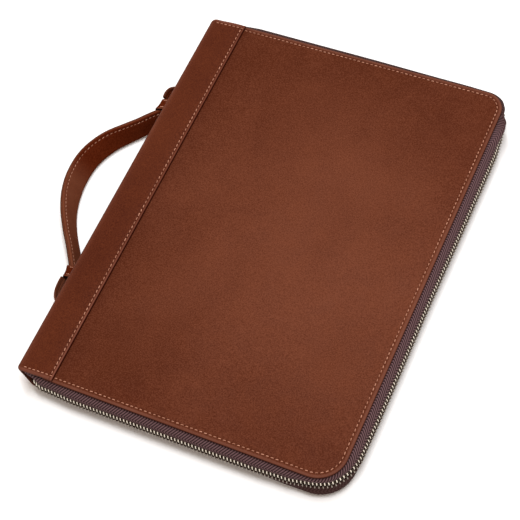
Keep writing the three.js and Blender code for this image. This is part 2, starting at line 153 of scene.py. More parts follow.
# The zip along each edge of the covers: share of the edge, how far the teeth stand out, and how full the
# front and back tapes are, from 0 where they run straight to about 2 where they pouch out
ZIP_ROWS = {
    "bottom": [
        (0.00, 0.8, 0.0, 0.0), (0.05, 2.8, 0.1, 0.0), (0.18, 4.3, 0.3, 0.0), (0.65, 4.3, 0.3, 0.2),
        (0.80, 4.1, 0.3, 0.5), (0.92, 3.0, 0.3, 1.1),
    ],
    "low_corner": [(0.20, -0.5, 0.4, 1.6), (0.60, 0.5, 0.4, 1.5)],
    "right": [
        (0.03, 4.8, 0.3, 0.7), (0.15, 5.3, 0.3, 0.0), (0.45, 4.8, 0.3, 0.0), (0.70, 5.4, 0.3, 0.0),
        (0.90, 5.7, 0.4, 0.0), (0.945, 4.4, 1.6, 0.0), (0.968, 3.3, 2.1, 0.0), (0.988, 2.5, 1.8, 0.0),
    ],
    "high_corner": [(0.13, -0.2, 0.5, 0.1), (0.36, 0.5, 0.8, 0.3), (0.60, 1.1, 1.05, 0.3)],
    "top": [
        (0.10, 3.1, 1.15, 0.3), (0.50, 4.0, 1.35, 0.3), (0.86, 3.4, 1.5, 0.0), (0.94, 0.8, 1.2, 0.0),
        (1.00, 0.2, 0.0, 0.0),
    ],
}

# Strap handle: its lower inner edge from keeper to keeper, with the distance off the spine face, the height,
# the lean in degrees and the width
StrapRow = namedtuple("StrapRow", "y off z lean wide")
STRAP_BOW = [StrapRow(*row) for row in (
    (88, 0.4, 4.2, 19.7, 16.6), (84.5, 0.6, 4.2, 19.7, 16.6), (80, 1.7, 3.9, 19.4, 16.5),
    (77, 3.7, 3.6, 18.8, 16.5), (73.7, 7.2, 3.4, 18.0, 16.9), (67.8, 12.6, 3.1, 16.2, 17.7),
    (59.1, 19.6, 2.7, 17.5, 18.3), (50.2, 27.6, 2.4, 20.0, 18.8), (35.9, 37.9, 2.6, 30.0, 19.4),
    (20.3, 43.6, 2.9, 35.5, 19.9), (1.7, 44.7, 2.8, 34.0, 20.0), (-13.8, 42.6, 2.5, 27.5, 19.9),
    (-28.5, 37.8, 2.3, 21.0, 19.4), (-44.8, 28.6, 2.4, 17.0, 18.8), (-60, 17.2, 2.9, 16.8, 17.9),
    (-64.5, 13.9, 3.1, 17.0, 17.7), (-68.5, 11.0, 3.3, 17.4, 17.4), (-72.5, 8.0, 3.6, 18.0, 17.2),
    (-76.5, 4.9, 3.7, 18.8, 16.6), (-80.5, 2.2, 4.0, 19.4, 16.5), (-85, 0.7, 4.2, 19.7, 16.6),
    (-89, 0.4, 4.2, 19.7, 16.6),
)]
STRAP_THICK = 4.2
STRAP_STITCH_DROP = 2.6
STRAP_GROOVE = 0.3
# Painted light: how much paler the strap is towards the bottom keeper, where it is lit
STRAP_PAINTED_LIGHT = 0.85
STRAP_BURN = 0.85
TAIL_THICK = 2.5
TAIL_GAP = 0.5
TAIL_TURN_GAP = 0.1
TAIL_WIDE = 16.6
TAIL_FOOT_Z = 4.2
Tail = namedtuple("Tail", "keeper_y turn_y swell_y swell_off free_y free_off")
TAILS = {
    "top": Tail(91.0, 105.0, 101.2, 10.2, 92.0, 8.2),
    "bottom": Tail(-92.0, -111.2, -104.0, 9.4, -90.3, 8.8),
}

# Keepers
KEEPER_THICK = 1.6
KEEPER_LENGTH = 10.4
KEEPER_ROOM = 6.8
KEEPER_MOUTH_ROOM = 8.6
KEEPER_SPAN = (-0.35, 18.7)
KEEPER_LIFT = 0.3
KEEPER_ROUND = Named(outer=3.6, inner=2.2)
KEEPER_RIM = Named(thin=0.35, width=0.5)
KEEPER_STITCH = Named(inset=2.0, upper_length=1.6, outer_length=2.2)
Keeper = namedtuple("Keeper", "node mouth_y side")
KEEPERS = [Keeper("keeper_top", 78.5, 1), Keeper("keeper_bottom", -79.6, -1)]

# Stitches
STITCH_PITCH = 3.8
SEAM_PITCH = 4.1
STITCH_LENGTH = 2.5
SEAM_STITCH_LENGTH = 2.9
STITCH_WIDE = 0.76
STITCH_HIGH = 0.55
STITCH_SLANT = math.radians(7)
STITCH_SPREAD = Named(slant=0.5, length=0.06)
STITCH_START_X = -126.5
STITCH_CREASE = 80
STRAP_STITCH = Named(pitch=3.4, length=2.4, girth=0.75, margin=2.0)

# Camera of the photograph
CAMERA_PLACE = (373.15, -501.20, 1010.42)
CAMERA_AIM = (-4.60, -14.62, 0.0)
CAMERA_ROLL = -15.68
CAMERA_LENS = 104.51
CAMERA_SENSOR = 36.0

# Light and floor, in metres and watts
Lamp = namedtuple("Lamp", "name place size watts tone")
KEY_LAMP = Lamp("key", (0.15, 0.17, 1.7), (1.6, 0.3), 33, (0.97, 1.01, 1.06))
WORLD = Named(tone=(1, 0.87, 0.77, 1), strength=0.74)
FLOOR = Named(reach=4.0, drop=1e-4, tone=(0.85, 0.845, 0.835, 1))

# Tones, in linear colour
Leather = namedtuple("Leather", "dark light worn burnt")
COVER_TONES = Leather(
    (0.054, 0.0086, 0.0008), (0.126, 0.035, 0.0155), (0.128, 0.044, 0.026), (0.032, 0.0035, 0.0006),
)
SPINE_TONES = Leather(
    (0.040, 0.0050, 0.0005), (0.096, 0.021, 0.0065), (0.168, 0.060, 0.038), (0.028, 0.0022, 0.0003),
)
STRAP_TONES = Leather(
    (0.040, 0.0042, 0.0006), (0.092, 0.0165, 0.0052), (0.142, 0.047, 0.024), (0.016, 0.004, 0.002),
)
LEATHER_MIX = Named(base=-1.28, cloud=0.65, mottle=0.4, fleck=2.5)
# A painted pool of light on the covers: how much paler, its centre in metres and its reach
COVER_LIGHT_POOL = Named(amount=0.5, centre=(0.045, -0.010, MIDDLE_Z * MM), reach=0.21)
# Tape tones by rib height; the last one is the tone of the band beside the teeth and of the tape's painted
# shade
TAPE_TONES = Named(
    gap=(0.018, 0.0090, 0.0097), side=(0.060, 0.030, 0.031), rib=(0.132, 0.073, 0.079),
    brown=(0.030, 0.013, 0.010),
)
BRASS_TONES = Named(dark=(0.055, 0.040, 0.030), bright=(0.80, 0.72, 0.60))
THREAD_TONES = Named(dark=(0.23, 0.088, 0.050), light=(0.48, 0.235, 0.155))

MERGE_REACH = 2e-6
SEED = 7
random = np.random.default_rng(SEED)


# Mesh helpers

def grid_quads(rows, columns, wrap=False):
    """Faces of a grid of points; wrap joins the last point of each row to its first."""
    last = columns if wrap else columns - 1
    r, c = np.meshgrid(np.arange(rows - 1), np.arange(last), indexing="ij")
    a = r * columns + c
    b = r * columns + (c + 1) % columns
    return np.stack([a, b, b + columns, a + columns], axis=-1).reshape(-1, 4).tolist()


class Shape:
    """Points and faces gathered for one mesh, with named values for each point."""

    def __init__(self):
        self.points = []
        self.faces = []
        self.values = {}
        self.count = 0

    def add(self, points, faces, **values):
        points = np.asarray(points, float).reshape(-1, 3)
        self.points.append(points)
        self.faces += [[i + self.count for i in face] for face in faces]
        for key, value in values.items():
            self.values.setdefault(key, []).append(np.broadcast_to(np.ravel(value), len(points)))
        self.count += len(points)

    def add_skin(self, sections, **values):
        """A skin over closed sections, with its two ends shut."""
        rows, columns = np.shape(sections)[:2]
        faces = grid_quads(rows, columns, wrap=True)
        last = (rows - 1) * columns
        faces += [list(range(columns))[::-1], [last + i for i in range(columns)]]
        self.add(sections, faces, **values)


def skin(sections, **values):
    """A shape with one skin."""
    shape = Shape()
    shape.add_skin(sections, **values)
    return shape


def add_object(name, data):
    made = bpy.data.objects.new(name, data)
    bpy.context.scene.collection.objects.link(made)
    return made


def make_piece(name, shape, material, nodes=(), crease=35):
    """Makes a mesh object of a shape, on the case's one body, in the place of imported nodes."""
    mesh = bpy.data.meshes.new(name)
    mesh.from_pydata((np.concatenate(shape.points) * MM).tolist(), [], shape.faces)
    for key, value in shape.values.items():
        mesh.attributes.new(key, "FLOAT", "POINT").data.foreach_set("value", np.concatenate(value))
    work = bmesh.new()
    work.from_mesh(mesh)
    bmesh.ops.remove_doubles(work, verts=work.verts, dist=MERGE_REACH)
    bmesh.ops.recalc_face_normals(work, faces=work.faces)
    work.to_mesh(mesh)
    work.free()
    mesh.shade_smooth()
    mesh.set_sharp_from_angle(angle=math.radians(crease))
    mesh.materials.append(material)
    piece = add_object(name, mesh)
    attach(piece, "root")
    if nodes:
        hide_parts(*nodes)
    return piece


def smooth(low, high, value):
    """0 up to low, 1 from high, and a soft step between."""
    share = np.clip((np.asarray(value, float) - low) / (high - low), 0, 1)
    return share * share * (3 - 2 * share)


def bump_at(value, middle, width):
    """1 at the middle, falling softly to 0 within about twice the width."""
    return np.exp(-(((np.asarray(value, float) - middle) / width) ** 2))


def stack(*columns):
    """Points made of columns of values, any of which may be a single number."""
    return np.stack(np.broadcast_arrays(*columns), axis=-1)


def straight(start, end, steps):
    share = np.linspace(0, 1, steps + 1)[:, None]
    return (1 - share) * np.array(start, float) + share * np.array(end, float)


def bend(start, corner, end, steps):
    """A curve from start to end that leaves and arrives along the lines to the corner."""
    t = np.linspace(0, 1, steps + 1)[:, None]
    start, corner, end = (np.array(p, float) for p in (start, corner, end))
    return (1 - t) ** 2 * start + 2 * t * (1 - t) * corner + t**2 * end


def lengths_along(points):
    return np.concatenate([[0], np.cumsum(np.linalg.norm(np.diff(points, axis=0), axis=1))])


def at_places(rows, along, where):
    """Rows of values, known at the distances along, at the distances where."""
    return stack(*(np.interp(where, along, column) for column in rows.T))


def at_lengths(points, where):
    """Points of a polyline at distances along it."""
    return at_places(points, lengths_along(points), where)


def unit(vectors):
    return vectors / np.linalg.norm(vectors, axis=-1, keepdims=True)


def smooth_rows(rows, count):
    """Values on a smooth line through the rows of a table, whose first three columns are a point."""
    rows = np.array(rows, float)
    at = lengths_along(rows[:, :3])
    slope = np.gradient(rows, at, axis=0)
    where = np.linspace(0, at[-1], count)
    k = np.clip(np.searchsorted(at, where, side="right") - 1, 0, len(at) - 2)
    step = (at[k + 1] - at[k])[:, None]
    t = (where - at[k])[:, None] / step
    value = (1 + 2 * t) * (1 - t) ** 2 * rows[k] + t**2 * (3 - 2 * t) * rows[k + 1]
    return value + step * (t * (1 - t) ** 2 * slope[k] - t**2 * (1 - t) * slope[k + 1])


# The covers' edge, from the lower spine corner round to the upper one

def edge_parts(inset=0.0, start_x=ZIP_START_X):
    """Lengths of the five parts of a line inset from the covers' edge."""
    quarter = math.pi / 2
    return {
        "bottom": HALF_WIDTH - LOW_RADIUS - start_x,
        "low_corner": (LOW_RADIUS - inset) * quarter,
        "right": 2 * HALF_HEIGHT - LOW_RADIUS - HIGH_RADIUS,
        "high_corner": (HIGH_RADIUS - inset) * quarter,
        "top": HALF_WIDTH - HIGH_RADIUS - start_x,
    }


def edge_length(inset=0.0, start_x=ZIP_START_X):
    return sum(edge_parts(inset, start_x).values())


def edge_track(along, inset=0.0, start_x=ZIP_START_X):
    """Points at distances along a line inset from the covers' edge, and the directions out of it there."""
    part = edge_parts(inset, start_x)
    to_end = sum(part.values()) - along
    past_low = along - part["bottom"]
    past_high = to_end - part["top"]
    turn = np.clip(past_low / part["low_corner"], 0, 1) + 1 - np.clip(past_high / part["high_corner"], 0, 1)
    out = stack(np.sin(turn * math.pi / 2), -np.cos(turn * math.pi / 2))
    low = stack(
        start_x + np.minimum(along, part["bottom"]),
        LOW_RADIUS - HALF_HEIGHT + np.maximum(past_low - part["low_corner"], 0),
    ) + (LOW_RADIUS - inset) * out
    high = stack(
        start_x + np.minimum(to_end, part["top"]),
        HALF_HEIGHT - HIGH_RADIUS - np.maximum(past_high - part["high_corner"], 0),
    ) + (HIGH_RADIUS - inset) * out
    return np.where((turn <= 1)[..., None], low, high), out


ZIP_LENGTH = edge_length()
EDGE_RUNS = edge_parts()
ZIP_STARTS = dict(zip(EDGE_RUNS, np.concatenate([[0], np.cumsum(list(EDGE_RUNS.values()))])))


ZipRow = namedtuple("ZipRow", "along out front back")
ZIP_LINE = [
    ZipRow(ZIP_STARTS[edge] + share * EDGE_RUNS[edge], *values)
    for edge, rows in ZIP_ROWS.items() for share, *values in rows
]


def zip_at(along, column):
    """A column of the zip's table at distances along the zip, on a soft line through its rows."""
    at = np.array([row.along for row in ZIP_LINE])
    value = np.array([getattr(row, column) for row in ZIP_LINE])
    k = np.clip(np.searchsorted(at, along, side="right") - 1, 0, len(at) - 2)
    return value[k] + (value[k + 1] - value[k]) * smooth(0, 1, (along - at[k]) / (at[k + 1] - at[k]))


def end_recess(along):
    """How far the zip draws in from the covers' edge at its two ends, inside the spine leather."""
    from_end = np.minimum(along, ZIP_LENGTH - along) + TAPE_OVERRUN
    return END_RECESS.depth * (1 - smooth(0, END_RECESS.run, from_end))


def beside_edge(along, out, z):
    """Points that lie out from the covers' edge at heights z."""
    point, direction = edge_track(along)
    flat = point + np.asarray(out)[..., None] * direction
    return np.concatenate([flat, np.asarray(z)[..., None]], axis=-1)


# Covers

def corner_arc(side, radius, inset, start, end, steps=10):
    """Part of a cover's round corner, at the bottom where side is -1 and at the top where it is 1."""
    turn = np.radians(np.linspace(start, end, steps + 1))
    arc = (radius - inset) * stack(np.cos(turn), side * np.sin(turn))
    return arc + (HALF_WIDTH - radius, side * (HALF_HEIGHT - radius))


def cover_sides(inset):
    """Four sides of a cover's outline, moved in: bottom and top run to the right, right and left run up."""
    def level(side, radius):
        y = side * (HALF_HEIGHT - inset)
        run = straight((COVER_LEFT + inset, y), (HALF_WIDTH - radius, y), 100)[:-1]
        return np.concatenate([run, corner_arc(side, radius, inset, 90, 45)])

    low, high = corner_arc(-1, LOW_RADIUS, inset, 45, 0), corner_arc(1, HIGH_RADIUS, inset, 0, 45)
    right = np.concatenate([low[:-1], straight(low[-1], high[0], 140)[:-1], high])
    share = (right[:, 1] - right[0, 1]) / (right[-1, 1] - right[0, 1])
    left = stack(COVER_LEFT + inset, (2 * share - 1) * (HALF_HEIGHT - inset))
    return level(-1, LOW_RADIUS), right, level(1, HIGH_RADIUS), left


def cover_ring(inset):
    bottom, right, top, left = cover_sides(inset)
    return np.concatenate([bottom[:-1], right[:-1], top[:0:-1], left[:0:-1]])


def cover_middle():
    """A grid of points inside the innermost ring of a cover."""
    bottom, right, top, left = cover_sides(CORE_INSET)
    u = np.linspace(0, 1, len(bottom))[None, :, None]
    v = np.linspace(0, 1, len(left))[:, None, None]
    ruled = (1 - v) * bottom[None] + v * top[None] + (1 - u) * left[:, None] + u * right[:, None]
    low = (1 - u) * bottom[0] + u * bottom[-1]
    high = (1 - u) * top[0] + u * top[-1]
    return ruled - (1 - v) * low - v * high


def cover_relief(inset, groove):
    """How far a cover's outer face lies below its highest line: rolled edge and stitch groove."""
    roll = ROLL.drop * np.clip(1 - inset / ROLL.width, 0, 1) ** 2
    return roll + groove * bump_at(inset, STITCH_INSET, GROOVE.width)


def ripple(x, y):
    """The slack of the leather in the middle of a cover, from 0 to 1."""
    long = np.sin(x / RIPPLE.long_x + 0.8) * np.sin(y / RIPPLE.long_y)
    wave = long + 0.6 * np.sin(x / RIPPLE.short_x - y / RIPPLE.short_y)
    inside = np.minimum(np.minimum(x - COVER_LEFT, HALF_WIDTH - x), HALF_HEIGHT - np.abs(y))
    return (0.5 + 0.3 * wave) * smooth(CORE_INSET, 3 * CORE_INSET, inside)


def seam_shade(x):
    """The painted shadow on the covers beside the seam of the spine leather: how dark they are there."""
    return SEAM_SHADE.dark * bump_at(x, SEAM_X, SEAM_SHADE.width)


def cover_shape(place, groove):
    """A cover's mesh. Place moves points from the front cover's height to the wanted one."""
    under = [(CORE_INSET, 0), (5, 0), (1.1, 0), (0.45, 0.1), (0.12, 0.4), (0, 0.85)]
    over = [0, 0.05, 0.15, 0.35, 0.65, 1.0, 1.35, 1.7, 2.1, 2.5]
    over += [STITCH_INSET + step for step in (-0.55, -0.35, -0.2, 0, 0.2, 0.35, 0.55, 0.8, 1.15, 1.8)]
    over += [6.4, 8.4, CORE_INSET]
    profile = under + [(inset, COVER_THICK - cover_relief(inset, groove)) for inset in over]
    rings = np.array([
        np.insert(cover_ring(inset), 2, CASE_THICK - COVER_THICK + up, axis=1) for inset, up in profile
    ])
    inset = np.array([row[0] for row in profile])
    worn = 1 - smooth(*EDGE_WORN, inset)
    # Dark dyed cut edge, and painted shade in the stitch groove
    burnt = 1 - smooth(*EDGE_BURNT, inset) + STITCH_SHADE * bump_at(inset, STITCH_INSET, GROOVE.width)
    middle = cover_middle()
    rows, columns = middle.shape[:2]
    x, y = middle[..., 0], middle[..., 1]
    top = stack(x, y, CASE_THICK - cover_relief(CORE_INSET, groove) - RIPPLE.depth * ripple(x, y))
    base = stack(x, y, CASE_THICK - COVER_THICK)
    count = rings.shape[1]
    shape = Shape()
    # Painted shadow beside the seam of the spine leather
    dark = np.maximum(burnt[:, None], seam_shade(rings[..., 0]))
    faces = grid_quads(len(rings), count, wrap=True)
    shape.add(place(rings), faces, worn=np.repeat(worn, count), burnt=dark)
    shape.add(place(top), grid_quads(rows, columns), worn=0, burnt=seam_shade(x))
    shape.add(place(base), grid_quads(rows, columns), worn=0, burnt=0)
    return shape


def as_front(points):
    return points


def as_back(points):
    """Turns a front cover's points over and steps them up where the spine leather runs underneath."""
    x, y, z = (points[..., i] for i in range(3))
    step = np.clip((BACK_STEP.low_x - x) / (BACK_STEP.low_x - BACK_STEP.high_x), 0, 1)
    return stack(x, y, CASE_THICK - z + BACK_STEP.rise * step)


# Spine leather

def face_x(z):
    """The outer face of the spine leather at a height."""
    share = (z - FACE_FOOT[1]) / (FACE_HEAD[1] - FACE_FOOT[1])
    return FACE_FOOT[0] + share * (FACE_HEAD[0] - FACE_FOOT[0])


def strip_height(x):
    """Outer height of the spine leather where it lies over the front cover."""
    return STRIP_TOP + (STRIP_FOLD_TOP - STRIP_TOP) * smooth(-STRIP_STEP.start_x, -STRIP_STEP.end_x, -x)


def spine_line():
    """Outer line of the spine leather in x and z, from its edge on the front to its edge on the back."""
    flange_x = np.linspace(SEAM_X + SEAM_REACH, FOLD_HEAD.start_x, 60)
    flange = stack(flange_x, strip_height(flange_x))
    head = bend(flange[-1], (FOLD_HEAD.corner_x, STRIP_FOLD_TOP), FACE_HEAD, 12)
    foot = bend(FACE_FOOT, (FOLD_FOOT.corner_x, 0), (FOLD_FOOT.start_x, 0), 12)
    return np.concatenate([flange, head[1:], foot, [(SEAM_X + SEAM_REACH, 0)]])


def edge_steps(length, fine, coarse):
    """Distances along a length: fine ones near both ends, and even ones between."""
    fine = np.array(fine)
    between = np.linspace(fine[-1], length - fine[-1], max(int((length - 2 * fine[-1]) / coarse), 2))
    return np.concatenate([fine, between[1:-1], length - fine[::-1]])


def spine_shape():
    """The spine leather: thinned along its two seams, rolled at its ends, with grooves for the stitches."""
    line = spine_line()
    seam_fine = [0, 0.08, 0.2, 0.4, 0.65, 0.95, 1.2, 1.45, 1.7, 1.9, 2.1, 2.35, 2.6, 2.85, 3.1, 3.5, 4.2, 5.2]
    end_fine = [0, 0.06, 0.2, 0.45, 0.8, 1.2, 1.6, 2.0, 2.25, 2.5, 2.8, 3.1, 3.35, 3.7, 4.4, 6, 8, 10.5]
    total = lengths_along(line)[-1]
    where = edge_steps(total, seam_fine, 1.1)
    outer = at_lengths(line, where)
    ahead = unit(np.gradient(outer, axis=0))
    normal = stack(ahead[:, 1], -ahead[:, 0])
    from_seam = np.minimum(where, total - where)
    on_flange = smooth(0.75, 0.95, np.abs(normal[:, 1]))
    groove = np.where(outer[:, 1] > MIDDLE_Z, GROOVE.front, GROOVE.back)
    rim = SEAM_RIM.drop * np.clip(1 - from_seam / SEAM_RIM.width, 0, 1) ** 1.5
    seam_groove = groove * bump_at(from_seam, SEAM_STITCH_INSET, GROOVE.width)
    fold = bump_at(outer[:, 0], FOLD_RUB.x, FOLD_RUB.width) * (outer[:, 1] > MIDDLE_Z)
    # Pale rim by the seam: rubbed leather and a painted highlight. Dark edge: dye and a painted shadow, with
    # painted shade in the stitch groove
    seam_rub_and_highlight = smooth(*SEAM_RUB_AND_HIGHLIGHT.start, from_seam) - smooth(*SEAM_RUB_AND_HIGHLIGHT.end, from_seam)
    seam_dye_and_shadow = 1 - smooth(*SEAM_DYE_AND_SHADOW, from_seam)
    seam_dye_and_shadow += STITCH_SHADE * bump_at(from_seam, SEAM_STITCH_INSET, GROOVE.width)
    sections, worn, burnt = [], [], []
    for y in edge_steps(2 * SPINE_HALF, end_fine, 2.4) - SPINE_HALF:
        from_end = SPINE_HALF - abs(y)
        end_groove = groove * bump_at(from_end, SPINE_STITCH_INSET, GROOVE.width) * on_flange
        roll = SPINE_END_ROLL.drop * np.clip(1 - from_end / SPINE_END_ROLL.width, 0, 1) ** 2
        top = outer - normal * (rim + np.maximum(seam_groove, end_groove) + roll)[:, None]
        base = outer - normal * (STRIP_THICK - SPINE_END_ROLL.under * roll)
        section = np.concatenate([top, base[::-1]])
        past = max(SPINE_CORNER_RADIUS - from_end, 0)
        pull = SPINE_CORNER_RADIUS - math.sqrt(SPINE_CORNER_RADIUS**2 - past**2)
        near = np.clip((FACE_FOOT[0] - section[:, 0]) / (FACE_FOOT[0] - FACE_HEAD[0]), 0, 1)
        sections.append(stack(section[:, 0] + pull * near, y, section[:, 1]))
        rub_and_light = SEAM_RUB_AND_HIGHLIGHT.low + (SEAM_RUB_AND_HIGHLIGHT.high - SEAM_RUB_AND_HIGHLIGHT.low) * smooth(-SPINE_HALF, 0, y)
        edge = np.maximum(rub_and_light * seam_rub_and_highlight, FOLD_RUB.share * fold)
        edge = np.maximum(edge, SPINE_END_RUB.share * (1 - smooth(*SPINE_END_RUB.reach, from_end)))
        dark = np.maximum(seam_dye_and_shadow, SPINE_END_BURN.share * (1 - smooth(*SPINE_END_BURN.reach, from_end)))
        worn.append(np.concatenate([edge, edge[::-1]]))
        burnt.append(np.concatenate([dark, dark[::-1]]))
    return skin(sections, worn=worn, burnt=burnt)


# Zip

def back_tape_lift(x):
    """How far the back tape rises to stay clear of the stepped part of the back cover."""
    return BACK_STEP.rise * np.clip((BACK_LIFT.start_x - x) / BACK_LIFT.run, 0, 1)


def rib_wave(run, across):
    """Height of the tape's slanted ribs, from 0 to 1. They change direction in bands across the tape."""
    band = RIB.band * np.abs(((across + RIB.shift) / RIB.band + 1) % 2 - 1)
    return 0.5 - 0.5 * np.cos(2 * math.pi * (run + RIB.slant * band) / RIB.pitch)


def tape_shape(side):
    """One woven tape, from its tuck under a cover to the cord beside the teeth.

    Side is 1 for the front tape and -1 for the back one.
    """
    along = np.arange(-TAPE_OVERRUN, ZIP_LENGTH + TAPE_OVERRUN, RIB.pitch / 4)
    out = zip_at(along, "out")
    full = zip_at(along, "front" if side > 0 else "back")
    lift = back_tape_lift(edge_track(along)[0][:, 0]) * (side < 0)
    tuck_up = MIDDLE_Z - COVER_THICK - TAPE_CLEAR - TAPE_THICK / 2 - lift
    tuck = stack(-TAPE_TUCK, tuck_up)
    leave = stack(TAPE_LEAVE, tuck_up)
    swell = stack(TAPE_SWELL.least + TAPE_SWELL.gain * full, tuck_up)
    drop = stack(out + TAPE_DROP.least + TAPE_DROP.gain * full, CORD_UP + TAPE_DROP.up)
    cord = stack(out - side * CORD_LEAN, CORD_UP)
    t = np.linspace(0, 1, 18)[:, None, None]
    curve = (1 - t) ** 3 * leave + 3 * t * (1 - t) ** 2 * swell + 3 * t**2 * (1 - t) * drop + t**3 * cord
    middle = np.concatenate([tuck[None], curve]).transpose(1, 0, 2)
    middle[..., 0] -= end_recess(along)[:, None]
    ahead = unit(np.gradient(middle, axis=1))
    normal = stack(-ahead[..., 1], ahead[..., 0])
    steps = np.linalg.norm(np.diff(middle, axis=1), axis=2)
    to_cord = np.insert(np.cumsum(steps[:, ::-1], axis=1), 0, 0, axis=1)[:, ::-1]
    half = TAPE_THICK / 2 + (CORD_RADIUS - TAPE_THICK / 2) * bump_at(to_cord, 0.5, 0.9)
    run = np.repeat(along[:, None], middle.shape[1], axis=1)
    ribs = RIB.depth * (rib_wave(run, to_cord) - 0.5) * smooth(0.8, 1.8, to_cord)
    inside = slice(None, None, -3)
    face = middle + normal * (half + ribs)[..., None]
    back = (middle - normal * half[..., None])[:, inside]
    section = np.concatenate([face, back], axis=1)
    to_cord = np.concatenate([to_cord, to_cord[:, inside]], axis=1)
    run = np.repeat(along[:, None], section.shape[1], axis=1)
    z = MIDDLE_Z + side * section[..., 1]
    points = beside_edge(run, section[..., 0], z)
    from_end = np.minimum(along, ZIP_LENGTH - along)[:, None] + TAPE_OVERRUN
    reach = face_x(z) + STRIP_THICK + TAPE_END_GAP - (ZIP_START_X - TAPE_OVERRUN)
    points[..., 0] += reach * (1 - smooth(0, TAPE_END_RUN, from_end))
    # Painted shade on the whole back tape and on the front tape from the high corner along the top; the band
    # beside the teeth is darker too
    shaded = TAPE_SHADE
    if side > 0:
        shaded = TAPE_SHADE * smooth(-20, 10, run - ZIP_STARTS["high_corner"])
    brown = np.maximum(bump_at(to_cord, 0.3, 1.5), shaded)
    return skin(points, run=run, across=to_cord, brown=brown)


def tooth_sections():
    """One upper tooth: rounded sections from the leg on the tape to the head past the middle line."""
    turn = np.radians(np.arange(0, 360, 36) + 18)
    circle = stack(np.cos(turn), np.sin(turn))
    ring = np.sign(circle) * np.abs(circle) ** TOOTH_SQUARENESS
    return np.array([np.insert(ring * (row.wide, row.thick), 2, row.up, axis=1) for row in TOOTH])


def teeth_shape():
    tooth = tooth_sections()
    end = ZIP_LENGTH - CHAIN_END
    count = 2 * int(round((end - CHAIN_START) / TOOTH_PITCH))
    shape = Shape()
    for k in range(count):
        along = CHAIN_START + (end - CHAIN_START) * (k + 0.5) / count
        side = 1 if k % 2 == 0 else -1
        up = side * tooth[..., 2]
        lean = -CHAIN_LEAN * up / CHAIN_UP
        out = zip_at(along, "out") - end_recess(along) + tooth[..., 1] + lean
        points = beside_edge(along + tooth[..., 0], out, MIDDLE_Z + up)
        # Upper teeth pale on their legs and dark on their heads: patina and painted shade; the lower row is
        # painted darker as shade
        bright = smooth(-1.0, -0.4, tooth[..., 2]) if side > 0 else 0.3 * smooth(0.3, 1.2, tooth[..., 2])
        shape.add_skin(points, bright=bright)
    return shape


# Stitches

def add_stitches(shape, centres, ahead, normal, length=STITCH_LENGTH, girth=1.0):
    """Threads lying on a surface, each along its row, with its ends drawn down into the leather."""
    count = len(centres)
    ahead, normal = (np.broadcast_to(direction, centres.shape) for direction in (ahead, normal))
    side = unit(np.cross(normal, ahead))
    slant = STITCH_SLANT * (1 + STITCH_SPREAD.slant * random.standard_normal(count))
    ahead, side = (
        np.cos(slant)[:, None] * ahead + np.sin(slant)[:, None] * side,
        np.cos(slant)[:, None] * side - np.sin(slant)[:, None] * ahead,
    )
    size = length * (1 + STITCH_SPREAD.length * random.standard_normal(count))
    t = np.array([-0.5, -0.42, -0.25, 0, 0.25, 0.42, 0.5])
    girth = girth * np.array([0.55, 0.85, 1, 1, 1, 0.85, 0.55])
    rise = STITCH_HIGH * (0.55 - 2.6 * t**2 - 6 * np.maximum(np.abs(t) - 0.4, 0))
    turn = np.radians(np.arange(0, 360, 45))
    wide = girth[:, None] * np.cos(turn) * STITCH_WIDE / 2
    high = girth[:, None] * np.sin(turn) * STITCH_HIGH / 2 + rise[:, None]
    rings = (
        centres[:, None, None]
        + (size[:, None] * t)[:, :, None, None] * ahead[:, None, None]
        + wide[None, :, :, None] * side[:, None, None]
        + high[None, :, :, None] * normal[:, None, None]
    )
    shade = random.random(count)
    for ring, tone in zip(rings, shade):
        shape.add_skin(ring, tone=tone)


def row_places(length, margin=0.0, pitch=STITCH_PITCH):
    """Middles of the stitches of a row, in even steps close to the pitch."""
    count = int(round((length - 2 * margin) / pitch))
    return margin + (length - 2 * margin) * (np.arange(count) + 0.5) / count


def cover_stitches(front):
    """The row round a cover and over the ends of the spine leather, and the row along its seam."""
    along = row_places(edge_length(STITCH_INSET, STITCH_START_X))
    flat, out = edge_track(along, STITCH_INSET, STITCH_START_X)
    ahead = stack(-out[:, 1], out[:, 0], 0.0)
    x = flat[:, 0]
    clear = np.abs(x - SEAM_X) > 0.45 * STITCH_LENGTH
    top = np.where(x < SEAM_X, strip_height(x), CASE_THICK) - GROOVE.front
    z = top if front else np.full_like(x, GROOVE.back)
    centres = np.column_stack([flat, z])[clear]
    normal = (0.0, 0.0, 1.0 if front else -1.0)
    shape = Shape()
    add_stitches(shape, centres, ahead[clear], normal)
    y = row_places(2 * SPINE_HALF, STITCH_INSET + 0.6, SEAM_PITCH) - SPINE_HALF
    seam_x = SEAM_X + SEAM_REACH - SEAM_STITCH_INSET
    seam_z = STRIP_TOP - GROOVE.front if front else GROOVE.back
    add_stitches(shape, stack(seam_x, y, seam_z), (0.0, 1.0, 0.0), normal, SEAM_STITCH_LENGTH)
    return shape


# Strap handle and keepers

TAIL_LEAN = math.atan2(FACE_FOOT[0] - FACE_HEAD[0], FACE_HEAD[1] - FACE_FOOT[1])
FACE_UP = np.array([-math.sin(TAIL_LEAN), 0, math.cos(TAIL_LEAN)])
FACE_OUT = np.array([-math.cos(TAIL_LEAN), 0, -math.sin(TAIL_LEAN)])


def through_strap(ahead, across):
    """The direction from the strap's inner face to its outer face."""
    level = stack(ahead[:, 1], -ahead[:, 0], 0.0)
    return unit(level - np.sum(level * across, axis=1, keepdims=True) * across)


